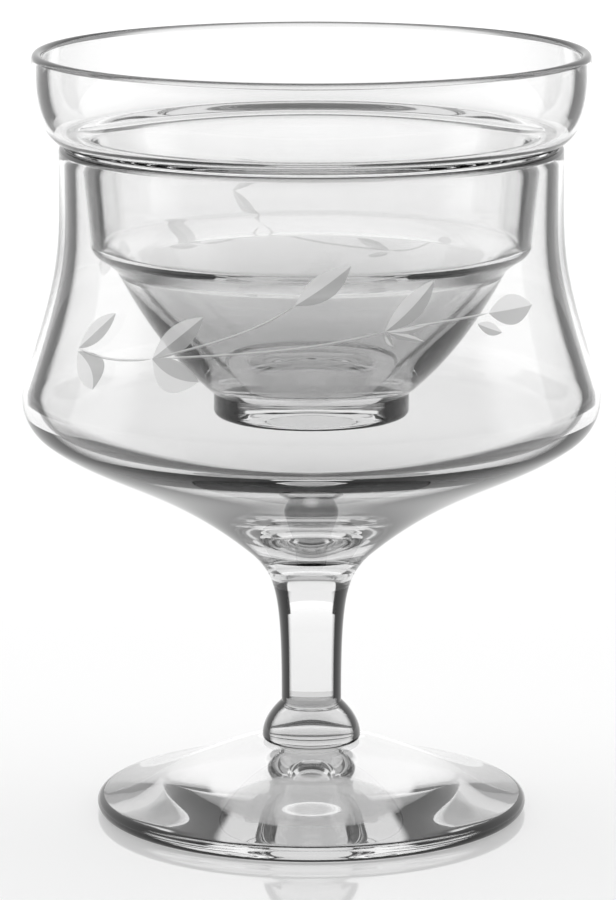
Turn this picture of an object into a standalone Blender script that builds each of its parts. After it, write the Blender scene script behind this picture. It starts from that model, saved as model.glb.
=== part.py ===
"""Seafood cocktail glass in clear crystal: a stemmed outer glass that holds crushed ice, the icer,
with a loose bowl for the food, the liner, hung by its ledge in the icer's mouth.

Every piece is turned about the Z axis. The icer stands on the plane z = 0 and is stacked upwards as
foot, knop, stem and bowl. The liner is measured from its seat on the icer's rim.
Units are metres, +Z is up and the origin is the middle of the foot's underside.
"""

import bpy
from math import asin, cos, pi, radians, sin
from mathutils import Vector
from mathutils.geometry import interpolate_bezier

MM = 0.001
HALF_PI = pi / 2

# Foot
FOOT_RADIUS = 38.2 * MM
FOOT_HEIGHT = 12.3 * MM
FOOT_EDGE = 2.8 * MM
FOOT_EDGE_SLOPE = radians(12.0)
FOOT_HUB_SLOPE = radians(14.0)
FOOT_HUB_MARGIN = 0.9 * MM
FOOT_STAND_WIDTH = 2.5 * MM
FOOT_HOLLOW = 6.0 * MM

# Knop between foot and stem
KNOP_RADIUS = 8.7 * MM
KNOP_HEIGHT = 7.6 * MM
KNOP_COLLAR = 1.0 * MM
KNOP_TUCK = 0.9 * MM
KNOP_SHOULDER_SLOPE = radians(42.0)

# Stem
STEM_RADIUS = 5.3 * MM
STEM_LENGTH = 25.2 * MM
STEM_HEAD_RADIUS = 10.2 * MM
STEM_HEAD_SLOPE = radians(46.5)
STEM_HEAD_PULL = 0.21
STEM_SHANK_PULL = 0.72

# Icer bowl
BOWL_HEIGHT = 73.2 * MM
BOWL_RIM_RADIUS = 44.05 * MM
BOWL_BULGE = 6.8 * MM
BOWL_BELLY_HEIGHT = 28.6 * MM
BOWL_BELLY_ROUND = 8.4 * MM
BOWL_FLARE = radians(17.8)
BOWL_UNDER = radians(52.8)
BOWL_BASE_SLOPE = radians(41.0)
BOWL_WAIST_PULL = 0.44
BOWL_FLARE_PULL = 0.53
BOWL_UNDER_PULL = 0.25
BOWL_BASE_PULL = 0.47
BOWL_WALL = 1.9 * MM
BOWL_BELLY_WALL = 2.4 * MM
BOWL_FLOOR = 4.4 * MM
BOWL_INNER_PULL = 0.10
BOWL_FLOOR_PULL = 0.12

# Liner
LINER_FLARE_HEIGHT = 15.9 * MM
LINER_LIP_TURN = 3.4 * MM
LINER_LEDGE_INSET = 1.5 * MM
LINER_OVERHANG = 6.2 * MM
LINER_MOUTH_CLEARANCE = 1.9 * MM
LINER_LEDGE_FILLET = 1.0 * MM
LINER_DEPTH = 44.0 * MM
LINER_NECK_DEPTH = 17.0 * MM
LINER_NECK_TAPER = 1.45 * MM
LINER_NECK_SLOPE = radians(5.5)
LINER_SHOULDER_ROUND = 3.0 * MM
LINER_STEP_DROP = 5.3 * MM
LINER_STEP_WIDTH = 4.6 * MM
LINER_STEP_SLOPE = radians(54.0)
LINER_STEP_PULL = 0.7
LINER_STEP_TURN = 0.1
LINER_BODY_SLOPE = radians(27.0)
LINER_BASE_SLOPE = radians(51.0)
LINER_BASE_RADIUS = 17.6 * MM
LINER_WALL = 1.9 * MM
LINER_FLOOR = 2.6 * MM
LINER_FLOOR_INSET = 0.6 * MM
LINER_FLOOR_ROUND = 2.0 * MM

# Low foot under the liner
LINER_FOOT_SETBACK = 0.4 * MM
LINER_FOOT_HEIGHT = 4.0 * MM
LINER_FOOT_ROUND = 1.0 * MM
LINER_FOOT_STAND_WIDTH = 1.0 * MM
LINER_FOOT_HOLLOW = 1.6 * MM

# Gap left between pieces that touch, and share of a chord used as a curve handle
SEAT_GAP = 0.3 * MM
EVEN_PULL = 0.34

# Largest share of a piece's height that the rounding of its edge may take
ROUND_LIMIT = 0.45

# Facets round the axis, and points along each kind of outline stretch
BOWL_SIDES = 52
FOOT_SIDES = 52
STEM_SIDES = 36
LINER_FOOT_SIDES = 44
SWEEP_POINTS = 8
HEAD_POINTS = 10
FLARE_POINTS = 8
TURN_POINTS = 6
LIP_POINTS = 5
FILLET_POINTS = 4
MERGE_DISTANCE = 0.01 * MM

COLLECTION = "seafood_cocktail_glass"

# Heights of the stacked pieces
KNOP_Z = FOOT_HEIGHT + SEAT_GAP
STEM_Z = KNOP_Z + KNOP_HEIGHT + SEAT_GAP
BOWL_Z = STEM_Z + STEM_LENGTH + SEAT_GAP
RIM_Z = BOWL_Z + BOWL_HEIGHT
LINER_Z = RIM_Z + SEAT_GAP
LINER_FOOT_Z = -LINER_DEPTH - SEAT_GAP

INWARD = Vector((-1.0, 0.0))
DOWN = Vector((0.0, -1.0))

GLASS_COLOUR = (0.93, 0.95, 0.94, 1.0)
GLASS_ROUGHNESS = 0.03
GLASS_IOR = 1.52


def downward(lean, outward=False):
    """Unit direction in the profile plane that leans from straight down, inwards or outwards."""
    side = 1.0 if outward else -1.0
    return Vector((side * sin(lean), -cos(lean)))


def sloping(slope, outward=False):
    """Unit direction in the profile plane that falls below level by an angle, inwards or outwards."""
    return downward(HALF_PI - slope, outward)


def sweep(start, start_way, end, end_way, start_pull, end_pull, count):
    """Points of a Bezier curve between two points, with handles that are shares of its chord."""
    start = Vector(start)
    end = Vector(end)
    chord = (end - start).length
    first = start + Vector(start_way) * chord * start_pull
    last = end - Vector(end_way) * chord * end_pull
    curve = interpolate_bezier(start.to_3d(), first.to_3d(), last.to_3d(), end.to_3d(), count)
    return [(point.x, point.y) for point in curve]


def arc(centre, half_width, half_height, start, end, count):
    """Points along an elliptic arc between two angles in radians, measured up from +X."""
    points = []
    for step in range(count):
        angle = start + (end - start) * step / (count - 1)
        points.append((centre[0] + half_width * cos(angle), centre[1] + half_height * sin(angle)))
    return points


def round_lip(inner_end, outer_end):
    """Half circle over the top of a wall, from its inner side to its outer side, without its ends."""
    radius = (outer_end[0] - inner_end[0]) / 2
    centre = ((inner_end[0] + outer_end[0]) / 2, (inner_end[1] + outer_end[1]) / 2)
    return arc(centre, radius, radius, pi, 0.0, LIP_POINTS)[1:-1]


def without_repeats(points):
    """Drop each point that falls on the one before it."""
    kept = [points[0]]
    for point in points[1:]:
        if (Vector(point) - Vector(kept[-1])).length > MERGE_DISTANCE:
            kept.append(point)
    return kept


def glass(name):
    """Clear crystal, one material for each piece."""
    material = bpy.data.materials.new(name)
    material.use_nodes = True
    shader = material.node_tree.nodes["Principled BSDF"]
    shader.inputs["Base Color"].default_value = GLASS_COLOUR
    shader.inputs["Metallic"].default_value = 0.0
    shader.inputs["Roughness"].default_value = GLASS_ROUGHNESS
    shader.inputs["IOR"].default_value = GLASS_IOR
    shader.inputs["Transmission Weight"].default_value = 1.0
    return material


def turned(name, outline, sides, parent):
    """Turn an outline of (radius, height) about the parent's Z axis into one named piece."""
    points = without_repeats(outline)
    count = len(points)
    edges = [(step, step + 1) for step in range(count - 1)]
    mesh = bpy.data.meshes.new(name)
    mesh.from_pydata([(radius, 0.0, height) for radius, height in points], edges, [])
    piece = bpy.data.objects.new(name, mesh)
    piece.parent = parent
    mesh.materials.append(glass(name + "_glass"))
    bpy.data.collections[COLLECTION].objects.link(piece)
    screw = piece.modifiers.new("turned", "SCREW")
    screw.axis = "Z"
    screw.steps = sides
    screw.render_steps = sides
    screw.use_merge_vertices = True
    screw.merge_threshold = MERGE_DISTANCE
    screw.use_smooth_shade = True
    return piece


def foot(parent):
    """Round foot: a low cone from hub to rounded edge, hollowed as a dome inside its standing ring."""
    half_edge = FOOT_EDGE / 2
    hub = (KNOP_RADIUS + FOOT_HUB_MARGIN, FOOT_HEIGHT)
    edge = arc((FOOT_RADIUS - half_edge, half_edge), half_edge, half_edge,
               HALF_PI - FOOT_EDGE_SLOPE, -HALF_PI, TURN_POINTS)
    cone = sweep(hub, sloping(FOOT_HUB_SLOPE, outward=True),
                 edge[0], sloping(FOOT_EDGE_SLOPE, outward=True), EVEN_PULL, EVEN_PULL, SWEEP_POINTS)
    hollow = (edge[-1][0] - FOOT_STAND_WIDTH, 0.0)
    dome = sweep(hollow, INWARD, (0.0, FOOT_HOLLOW), INWARD, EVEN_PULL, EVEN_PULL, TURN_POINTS)
    return turned("foot", [(0.0, FOOT_HEIGHT)] + cone + edge + dome, FOOT_SIDES, parent)


def stem_knop(parent):
    """Bell-shaped knop: a short collar as wide as the stem, a round shoulder and a tucked-in base."""
    top = KNOP_Z + KNOP_HEIGHT
    collar = (STEM_RADIUS, top - KNOP_COLLAR)
    tuck = arc((KNOP_RADIUS - KNOP_TUCK, KNOP_Z + KNOP_TUCK), KNOP_TUCK, KNOP_TUCK,
               0.0, -HALF_PI, FILLET_POINTS)
    shoulder = sweep(collar, sloping(KNOP_SHOULDER_SLOPE, outward=True), tuck[0], DOWN,
                     EVEN_PULL, EVEN_PULL, SWEEP_POINTS)
    outline = [(0.0, top), (STEM_RADIUS, top)] + shoulder + tuck + [(0.0, KNOP_Z)]
    return turned("stem_knop", outline, STEM_SIDES, parent)


def stem(parent):
    """Drawn stem: a wide head under the bowl that runs down in one curve to a straight shank."""
    top = STEM_Z + STEM_LENGTH
    side = sweep((STEM_HEAD_RADIUS, top), sloping(STEM_HEAD_SLOPE), (STEM_RADIUS, STEM_Z), DOWN,
                 STEM_HEAD_PULL, STEM_SHANK_PULL, HEAD_POINTS)
    return turned("stem", [(0.0, top)] + side + [(0.0, STEM_Z)], STEM_SIDES, parent)


def bowl_side(inset, belly_inset, under_pull, base_point, base_way, base_pull):
    """One face of the bowl's wall from rim to base: waisted flare, round belly and undercut curve."""
    belly = BOWL_BELLY_ROUND - belly_inset
    centre = (BOWL_RIM_RADIUS + BOWL_BULGE - BOWL_BELLY_ROUND, BOWL_Z + BOWL_BELLY_HEIGHT)
    turn = arc(centre, belly, belly, BOWL_FLARE, -BOWL_UNDER, TURN_POINTS)
    rim = (BOWL_RIM_RADIUS - inset, RIM_Z - BOWL_WALL / 2)
    flare = sweep(rim, DOWN, turn[0], downward(BOWL_FLARE, outward=True),
                  BOWL_WAIST_PULL, BOWL_FLARE_PULL, FLARE_POINTS)
    under = sweep(turn[-1], downward(BOWL_UNDER), base_point, base_way, under_pull, base_pull, SWEEP_POINTS)
    return flare + turn + under


def icer_bowl(parent):
    """Thin-walled outer bowl, waisted under its rim, with its floor thickened over the stem."""
    outside = bowl_side(0.0, 0.0, BOWL_UNDER_PULL,
                        (STEM_HEAD_RADIUS, BOWL_Z), sloping(BOWL_BASE_SLOPE), BOWL_BASE_PULL)
    inside = bowl_side(BOWL_WALL, BOWL_BELLY_WALL, BOWL_INNER_PULL,
                       (0.0, BOWL_Z + BOWL_FLOOR), INWARD, BOWL_FLOOR_PULL)
    inside.reverse()
    lip = round_lip(inside[-1], outside[0])
    return turned("icer_bowl", inside + lip + outside + [(0.0, BOWL_Z)], BOWL_SIDES, parent)


def liner_side(inset, base_point):
    """One face of the liner's wall from lip to base, set in from the outer face by an even thickness.

    The lip flares as an ellipse down to the ledge. A fillet turns the ledge down into the neck, which
    narrows to a round shoulder. A short step leads in from there, and the body rounds down to the base.
    """
    bulge = LINER_FLARE_HEIGHT - LINER_LIP_TURN
    ledge = BOWL_RIM_RADIUS - LINER_LEDGE_INSET
    rise = bulge - inset
    lip_angle = asin((LINER_LIP_TURN - LINER_WALL / 2) / rise)
    flare = arc((ledge, bulge), LINER_OVERHANG - inset, rise, lip_angle, -HALF_PI, FLARE_POINTS)
    neck = BOWL_RIM_RADIUS - BOWL_WALL - LINER_MOUTH_CLEARANCE
    turn_radius = LINER_LEDGE_FILLET + inset
    turn = arc((neck + LINER_LEDGE_FILLET, -LINER_LEDGE_FILLET), turn_radius, turn_radius,
               HALF_PI, pi, FILLET_POINTS)
    neck_end = neck - LINER_NECK_TAPER
    shoulder_radius = LINER_SHOULDER_ROUND - inset
    shoulder = arc((neck_end - LINER_SHOULDER_ROUND, -LINER_NECK_DEPTH),
                   shoulder_radius, shoulder_radius, -LINER_NECK_SLOPE, -LINER_STEP_SLOPE, FILLET_POINTS)
    body_top = (neck_end - LINER_STEP_WIDTH - inset * cos(LINER_BODY_SLOPE),
                -LINER_NECK_DEPTH - LINER_STEP_DROP + inset * sin(LINER_BODY_SLOPE))
    step = sweep(shoulder[-1], downward(LINER_STEP_SLOPE), body_top, downward(LINER_BODY_SLOPE),
                 LINER_STEP_PULL, LINER_STEP_TURN, FILLET_POINTS)
    body = sweep(body_top, downward(LINER_BODY_SLOPE), base_point, downward(LINER_BASE_SLOPE),
                 EVEN_PULL, EVEN_PULL, SWEEP_POINTS)
    return flare + turn + shoulder + step + body


def liner_bowl(parent):
    """Liner: a flared lip, the ledge that hangs it on the rim, and a stepped body with a flat floor."""
    outside = liner_side(0.0, (LINER_BASE_RADIUS, -LINER_DEPTH))
    floor = LINER_FLOOR - LINER_DEPTH
    corner = arc((LINER_BASE_RADIUS - LINER_FLOOR_INSET - LINER_FLOOR_ROUND, floor + LINER_FLOOR_ROUND),
                 LINER_FLOOR_ROUND, LINER_FLOOR_ROUND, -LINER_BASE_SLOPE, -HALF_PI, FILLET_POINTS)
    inside = liner_side(LINER_WALL, corner[0]) + corner + [(0.0, floor)]
    inside.reverse()
    lip = round_lip(inside[-1], outside[0])
    return turned("liner_bowl", inside + lip + outside + [(0.0, -LINER_DEPTH)], BOWL_SIDES, parent)


def liner_foot(parent):
    """Low foot that the liner stands on when it is lifted out, rounded at its edge and hollow below."""
    wide = LINER_BASE_RADIUS - LINER_FOOT_SETBACK
    low = LINER_FOOT_Z - LINER_FOOT_HEIGHT
    rounding = min(LINER_FOOT_ROUND, LINER_FOOT_HEIGHT * ROUND_LIMIT)
    edge = arc((wide - rounding, low + rounding), rounding, rounding, 0.0, -HALF_PI, FILLET_POINTS)
    hollow = (edge[-1][0] - LINER_FOOT_STAND_WIDTH, low)
    dome = sweep(hollow, INWARD, (0.0, low + LINER_FOOT_HOLLOW), INWARD, EVEN_PULL, EVEN_PULL, TURN_POINTS)
    outline = [(0.0, LINER_FOOT_Z), (wide, LINER_FOOT_Z)] + edge + dome
    return turned("liner_foot", outline, LINER_FOOT_SIDES, parent)


def axis_point(name, height):
    """Empty on the glass's axis that carries the pieces measured from it."""
    point = bpy.data.objects.new(name, None)
    point.location = (0.0, 0.0, height)
    bpy.data.collections[COLLECTION].objects.link(point)
    return point


def main():
    """Clear the scene and stack the pieces."""
    for item in list(bpy.data.objects):
        bpy.data.objects.remove(item, do_unlink=True)
    collection = bpy.data.collections.new(COLLECTION)
    bpy.context.scene.collection.children.link(collection)
    icer = axis_point("icer_axis", 0.0)
    foot(icer)
    stem_knop(icer)
    stem(icer)
    icer_bowl(icer)
    liner = axis_point("liner_seat", LINER_Z)
    liner_bowl(liner)
    liner_foot(liner)


main()
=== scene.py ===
"""Looks of a seafood cocktail glass: a clear stemmed icer with a cut leaf spray, and its hanging liner.

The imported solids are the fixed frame. Every solid is stood for by a finer piece of clear glass, turned
from the same outline, and the leaf spray is laid on the outside of the icer's bowl.
"""

from math import radians

import bpy
import numpy as np
from bpy.props import FloatProperty, FloatVectorProperty, IntProperty, PointerProperty
from bpy.types import Operator, Panel, PropertyGroup
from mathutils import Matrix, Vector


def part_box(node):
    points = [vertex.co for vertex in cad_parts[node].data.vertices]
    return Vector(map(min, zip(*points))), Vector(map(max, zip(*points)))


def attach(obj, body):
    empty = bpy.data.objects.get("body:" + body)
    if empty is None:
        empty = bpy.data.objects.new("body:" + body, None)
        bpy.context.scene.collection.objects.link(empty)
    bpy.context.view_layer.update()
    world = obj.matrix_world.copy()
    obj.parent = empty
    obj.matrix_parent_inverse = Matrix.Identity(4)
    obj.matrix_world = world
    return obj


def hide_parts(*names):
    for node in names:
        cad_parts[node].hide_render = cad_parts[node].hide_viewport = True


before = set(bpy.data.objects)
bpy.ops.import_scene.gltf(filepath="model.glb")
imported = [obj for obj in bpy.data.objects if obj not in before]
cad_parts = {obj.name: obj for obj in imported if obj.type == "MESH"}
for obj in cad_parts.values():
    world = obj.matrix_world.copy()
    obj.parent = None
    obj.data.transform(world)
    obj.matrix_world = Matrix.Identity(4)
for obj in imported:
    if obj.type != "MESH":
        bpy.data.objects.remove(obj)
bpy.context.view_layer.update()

bl_info = {
    "name": "Seafood cocktail glass",
    "version": (1, 0, 0),
    "blender": (4, 5, 0),
    "location": "View3D > Sidebar > Glass",
    "description": "Clear glass icer with a cut leaf spray and a hanging liner",
    "category": "Add Mesh",
}

MM = 0.001
HALF_PI = np.pi / 2
BOX = {name: [np.array(corner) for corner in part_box(name)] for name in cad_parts}

INWARD = np.array((-1.0, 0.0))
DOWN = np.array((0.0, -1.0))

SAME_POINT = 1e-4 * MM
SAME_LEVEL = 1e-3 * MM
SHARP_TURN = radians(30.0)
STALK_TAPER = 8.0  # one over the share of a stalk in which it widens

# Section of a cut, out along its top and back underneath: share of the way across, rise, and material
# number of the face that starts there. The rib is the point with the most rise.
CUT_ACROSS = np.array((0.0, 0.25, 0.5, 0.75, 1.0, 0.75, 0.5, 0.25))
CUT_RISE = np.array((0.0, 0.5, 1.0, 0.5, 0.0, -0.5, -0.5, -0.5))
# Material number nought is the painted lit grey of a cut and one its painted shaded grey.
CUT_SLOT = np.array((0, 0, 1, 1, 1, 1, 0, 0))
CUT_RIB = 2

TABLE_DROP = 0.1 * MM
TABLE_STEPS = 5
DOME_STEPS = (65, 25)
DOME_DIP = 0.05  # radians below level
FLAG_STEPS = (33, 9)
GLASS_BOUNCES = 24
GLOSS_BOUNCES = 12
FRAME_WIDTH_MM = 36.0

# Brightness of the dome from front to back and from the table up, and cover of a flag along and up its
# sheet, each as stops of place and amount.
DOME_BY_DEPTH = ((0.0, 0.1), (0.34, 0.14), (0.47, 1.0), (0.9, 1.0))
DOME_BY_HEIGHT = ((0.0, 1.0), (0.35, 1.0), (0.65, 0.85), (1.0, 0.8))
FLAG_ALONG = ((0.0, 0.0), (0.06, 1.0), (0.94, 1.0), (1.0, 0.0))
FLAG_UP = ((0.0, 1.0), (0.8, 1.0), (1.0, 0.0))

# Leaves of the cut sprays as base, tip, middle of the left edge and middle of the right edge, and their
# stalks as points along the way. Each point is a turn about the axis in degrees and a height in
# millimetres.
FRONT_LEAVES = (
    ((213, 87.5), (223.5, 94.5), (215.5, 91.5), (221, 90.5)),
    ((213, 87), (221, 81.5), (215, 83.5), (223, 85.5)),
    ((235.5, 88), (246.5, 95.5), (238, 92.5), (244, 91)),
    ((235.5, 88), (247, 85), (240, 83), (242, 88)),
    ((266.5, 98), (278.5, 104.5), (270.5, 102.5), (274.5, 99.5)),
    ((285.5, 93.5), (297.5, 101.5), (290, 98.5), (294.5, 96.5)),
    ((285.5, 93.5), (296, 94.5), (290.5, 94), (291.5, 93)),
    ((285.5, 93.5), (294, 91.5), (290, 93), (289.5, 92)),
    ((285.5, 93), (287, 91), (285.5, 92), (286.5, 92.5)),
    ((311, 95), (325.5, 95), (317.5, 97.5), (317, 92.5)),
    ((307.5, 93.5), (314, 91.5), (311, 93.5), (310, 91.5)),
)
FRONT_STALKS = (
    ((213, 87.5), (219.5, 87), (235.5, 88)),
    ((235.5, 88), (247.5, 91), (256, 93.5), (266.5, 98)),
    ((235.5, 88), (262, 90.5), (275.5, 92), (285.5, 93.5)),
    ((290.5, 94), (300, 94.5), (311, 95)),
)
BACK_LEAVES = (
    ((131, 100), (119, 95), (123.5, 98.5), (126, 96.5)),
    ((129.5, 95), (120, 94.5), (124.5, 95.5), (124.5, 94)),
    ((103, 98.5), (110.5, 105.5), (107.5, 101), (105.5, 102.5)),
    ((70, 93), (78.5, 95.5), (75, 93.5), (73.5, 95)),
    ((70, 92.5), (76, 91.5), (73, 92.5), (72.5, 91.5)),
    ((56.5, 96.5), (50, 96), (53, 97), (53, 95.5)),
    ((145.5, 94.5), (153, 94.5), (149.5, 92), (149, 97)),
)
BACK_STALKS = (
    ((103, 98.5), (97.5, 96.5), (84.5, 94), (70, 93)),
    ((119, 95), (110.5, 95.5), (103, 98)),
    ((70, 93), (64, 93.5), (56.5, 96.5)),
)


def node_top(name):
    """Highest level of a solid."""
    return float(BOX[name][1][2])


def node_base(name):
    """Lowest level of a solid."""
    return float(BOX[name][0][2])


def node_radius(name):
    """Widest radius of a solid."""
    return float(BOX[name][1][0])


def length(label, text, value):
    """A size in metres that a user may change."""
    return FloatProperty(name=label, description=text, default=value, min=0.0, unit="LENGTH",
                         subtype="DISTANCE", precision=5)


def angle(label, text, degrees):
    """An angle that a user may change."""
    return FloatProperty(name=label, description=text, default=radians(degrees), unit="ROTATION",
                         subtype="ANGLE")


def share(label, text, value):
    """A part of one, such as how far a curve's handle reaches along its chord."""
    return FloatProperty(name=label, description=text, default=value, min=0.0, max=1.0, subtype="FACTOR")


def painted_shade_slants(label, text, start, full):
    """Two slants of view, nought for straight on and one for edge on, between which painted shade
    darkens the glass.
    """
    return FloatVectorProperty(name=label, description=text, default=(start, full), min=0.0, max=1.0,
                               size=2)


def count(label, text, value):
    """A number of steps."""
    return IntProperty(name=label, description=text, default=value, min=3)


def colour(label, text, value):
    """A linear colour."""
    return FloatVectorProperty(name=label, description=text, default=value, min=0.0, max=1.0, size=3,
                               subtype="COLOR")


class StandSizes(PropertyGroup):
    """Foot, knop and stem of the icer."""

    foot_edge: length("Foot edge", "Thickness of the foot at its rounded edge", 2.8 * MM)
    foot_edge_slope: angle("Foot edge slope", "Fall of the foot's top at its edge", 12.0)
    foot_hub_slope: angle("Foot hub slope", "Fall of the foot's top beside the knop", 14.0)
    foot_hub_margin: length("Hub margin", "Flat left round the knop", 0.9 * MM)
    foot_stand: length("Standing ring", "Width of the ring that the foot stands on", 2.5 * MM)
    foot_hollow: length("Foot hollow", "Rise of the underside inside the standing ring", 6.0 * MM)
    knop_collar: length("Knop collar", "Height of the collar under the stem", 1.0 * MM)
    knop_tuck: length("Knop tuck", "Rounding of the knop's lower edge", 0.9 * MM)
    knop_shoulder_slope: angle("Knop shoulder", "Fall of the knop's shoulder at the collar", 42.0)
    stem_radius: length("Stem radius", "Radius of the straight shank", 5.3 * MM)
    stem_head_slope: angle("Stem head slope", "Fall of the stem's head at the bowl", 46.5)
    stem_head_pull: share("Stem head pull", "Reach of the head's curve", 0.21)
    stem_shank_pull: share("Stem shank pull", "Reach of the shank's straight", 0.72)


class IcerSizes(PropertyGroup):
    """Bowl of the icer."""

    rim_radius: length("Rim radius", "Radius of the bowl at its rim", 44.05 * MM)
    belly_height: length("Belly height", "Height of the belly over the bowl's base", 28.6 * MM)
    belly_round: length("Belly rounding", "Radius of the turn at the belly", 8.4 * MM)
    flare: angle("Flare", "Lean of the wall above the belly", 17.8)
    under: angle("Under", "Lean of the wall below the belly", 52.8)
    base_slope: angle("Base slope", "Fall of the bowl's base at the stem", 41.0)
    waist_pull: share("Waist pull", "Reach of the straight under the rim", 0.44)
    flare_pull: share("Flare pull", "Reach of the straight over the belly", 0.53)
    under_pull: share("Under pull", "Reach of the straight below the belly", 0.25)
    base_pull: share("Base pull", "Reach of the curve into the stem", 0.47)
    wall: length("Wall", "Thickness of the wall at the rim", 1.9 * MM)
    belly_wall: length("Belly wall", "Thickness of the wall at the belly", 2.4 * MM)
    floor: length("Floor", "Thickness of the floor over the stem", 4.4 * MM)
    inner_pull: share("Inner pull", "Reach of the inner face below the belly", 0.10)
    floor_pull: share("Floor pull", "Reach of the inner floor from the axis", 0.12)


class LinerSizes(PropertyGroup):
    """Liner bowl and the low foot under it."""

    flare_height: length("Flare height", "Height of the flared lip over the ledge", 15.9 * MM)
    lip_turn: length("Lip turn", "Height over which the lip turns in again", 3.4 * MM)
    ledge_inset: length("Ledge inset", "Distance of the ledge's edge inside the icer's rim", 1.5 * MM)
    overhang: length("Overhang", "Reach of the flare beyond the ledge", 6.2 * MM)
    clearance: length("Mouth clearance", "Gap between the neck and the icer's mouth", 1.9 * MM)
    ledge_fillet: length("Ledge fillet", "Rounding between ledge and neck", 1.0 * MM)
    neck_depth: length("Neck depth", "Depth of the neck below the ledge", 17.0 * MM)
    neck_taper: length("Neck taper", "Narrowing of the neck over its depth", 1.45 * MM)
    shoulder_round: length("Shoulder rounding", "Radius of the turn from neck to step", 3.0 * MM)
    step_drop: length("Step drop", "Height of the step below the neck", 5.3 * MM)
    step_width: length("Step width", "Narrowing of the liner over its step", 4.6 * MM)
    step_slope: angle("Step slope", "Lean of the step below the neck", 54.0)
    step_pull: share("Step pull", "Reach of the step's straight", 0.7)
    step_turn: share("Step turn", "Reach of the turn from step to body", 0.1)
    neck_slope: angle("Neck slope", "Lean of the neck", 5.5)
    body_slope: angle("Body slope", "Lean of the body below the step", 27.0)
    base_slope: angle("Base slope", "Lean of the body at its base", 51.0)
    base_radius: length("Base radius", "Radius of the liner's base", 17.6 * MM)
    wall: length("Wall", "Thickness of the liner's wall", 1.9 * MM)
    floor: length("Floor", "Thickness of the liner's floor", 2.6 * MM)
    floor_inset: length("Floor inset", "Setback of the inner floor's corner", 0.6 * MM)
    floor_round: length("Floor rounding", "Rounding of the inner floor's corner", 2.0 * MM)
    foot_round: length("Foot rounding", "Rounding of the lower edge of the liner's foot", 1.0 * MM)
    foot_stand: length("Foot ring", "Width of the ring that the liner's foot stands on", 1.0 * MM)
    foot_hollow: length("Foot hollow", "Rise of the underside of the liner's foot", 1.6 * MM)


class GlassLook(PropertyGroup):
    """Clear crystal and how finely it is turned."""

    bowl_tint: share("Bowl tint", "Light that goes through a bowl's wall", 0.975)
    # Painted shade: the stem and, much more, the knop are tinted grey, darker than clear crystal, for
    # the dark that the solid glass shows.
    stem_shade_tint: share("Stem tint", "Light that goes through the stem", 0.88)
    knop_shade_tint: share("Knop tint", "Light that goes through the knop", 0.55)
    foot_tint: share("Foot tint", "Light that goes through the middle of the foot", 0.97)
    # Painted shade: these darken the heavy base of the liner and of the icer's bowl and the low outer
    # part of the foot, darker towards the bottom, for the dark that thick glass shows.
    liner_base_shade: share("Liner tone", "Light that goes through the heavy base of the liner", 0.72)
    icer_base_shade: share("Icer tone", "Light that goes through the heavy base of the icer's bowl", 0.76)
    foot_outer_shade: share("Foot tone", "Light that goes through the outer part of the foot", 0.68)
    foot_shade_low: length("Low foot tone", "Height of the foot where it is darkest", 4.5 * MM)
    foot_shade_high: length("High foot tone", "Height of the foot where it is clear", 9.0 * MM)
    # Painted shade: between two slants of view these darken the glass towards edge on, so that the lips,
    # the inner walls, the liner's step, the belly's turn, the shank and foot rims and the knop show dark
    # edges in every view.
    lip_shade_tone: share("Lip tone", "Light that goes through the edge of a bowl's lip", 0.1)
    lip_shade_slants: painted_shade_slants("Lip edge", "Grazes between which a bowl's lip darkens", 0.12, 0.35)
    wall_shade_slants: painted_shade_slants("Wall edge", "Grazes between which a bowl's inner face darkens", 0.72, 0.8)
    step_shade_slants: painted_shade_slants("Step edge", "Grazes between which the liner's step darkens", 0.5, 0.75)
    belly_shade_slants: painted_shade_slants("Belly edge", "Grazes between which the turn of the belly darkens", 0.45, 0.65)
    belly_turn: angle("Belly turn", "Fall of the belly's face from which its edge darkens", 15.0)
    solid_shade_slants: painted_shade_slants("Solid edge", "Grazes between which shank and foot rims darken", 0.25, 0.36)
    knop_shade_slants: painted_shade_slants("Knop edge", "Grazes between which the knop darkens", 0.36, 0.5)
    # Up to this height over its seat the ledge is left out of the painted edge shade of the liner's
    # inner face.
    ledge_clear: length("Clear ledge", "Height over its seat where the ledge stays clear", 3.8 * MM)
    shank_swell: FloatProperty(name="Shank swell", description="Most radius of the shank, in stem radii",
                               default=1.3, min=1.0)
    index: FloatProperty(name="Index of refraction", description="Bending power of the crystal",
                         default=1.52, min=1.0, max=2.0)
    joint_gap: length("Joint gap", "Slit left between pieces that were joined hot", 0.02 * MM)
    bowl_sides: count("Bowl sides", "Steps round the axis of the bowls and the foot", 256)
    stem_sides: count("Stem sides", "Steps round the axis of the stem and the knop", 192)
    even_pull: share("Even pull", "Reach of a curve that bends alike at both ends", 0.34)
    curve_points: count("Curve points", "Points along each long stretch of an outline", 40)
    turn_points: count("Turn points", "Points along each short turn of an outline", 16)


class SprayLook(PropertyGroup):
    """Leaf sprays cut matt into the outside of the icer's bowl."""

    # Painted light and shade: the two sides of a cut get a lit and a shaded grey, standing in for how
    # light falls on the V of the cut.
    lit_cut_side: colour("Light cut", "Colour of the side of a leaf that is cut lightly", (1.0, 1.0, 1.0))
    shaded_cut_side: colour("Dark cut", "Colour of the side of a leaf that is cut deeper", (0.6, 0.6, 0.6))
    front_cover: share("Front cover", "Part of the view that one face of a cut hides in front", 0.5)
    back_cover: share("Back cover", "Part of the view that one face of a cut hides at the back", 0.17)
    # Painted light: the cuts glow with emission in their own grey, standing in for light from behind
    # that ground glass scatters forwards.
    glow: share("Glow", "Light from behind that a cut scatters forwards", 0.2)
    roughness: share("Roughness", "Roughness of a cut", 0.7)
    grain: length("Grain", "Size of the grinding marks", 0.25 * MM)
    low: length("Cut edge", "Stand of a cut's edge over the glass", 0.03 * MM)
    high: length("Cut rib", "Stand of a leaf's rib over the glass", 0.09 * MM)
    stalk: length("Stalk", "Half the width of a stalk", 0.2 * MM)
    steps: count("Leaf steps", "Points along a leaf or a stalk", 30)


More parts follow.
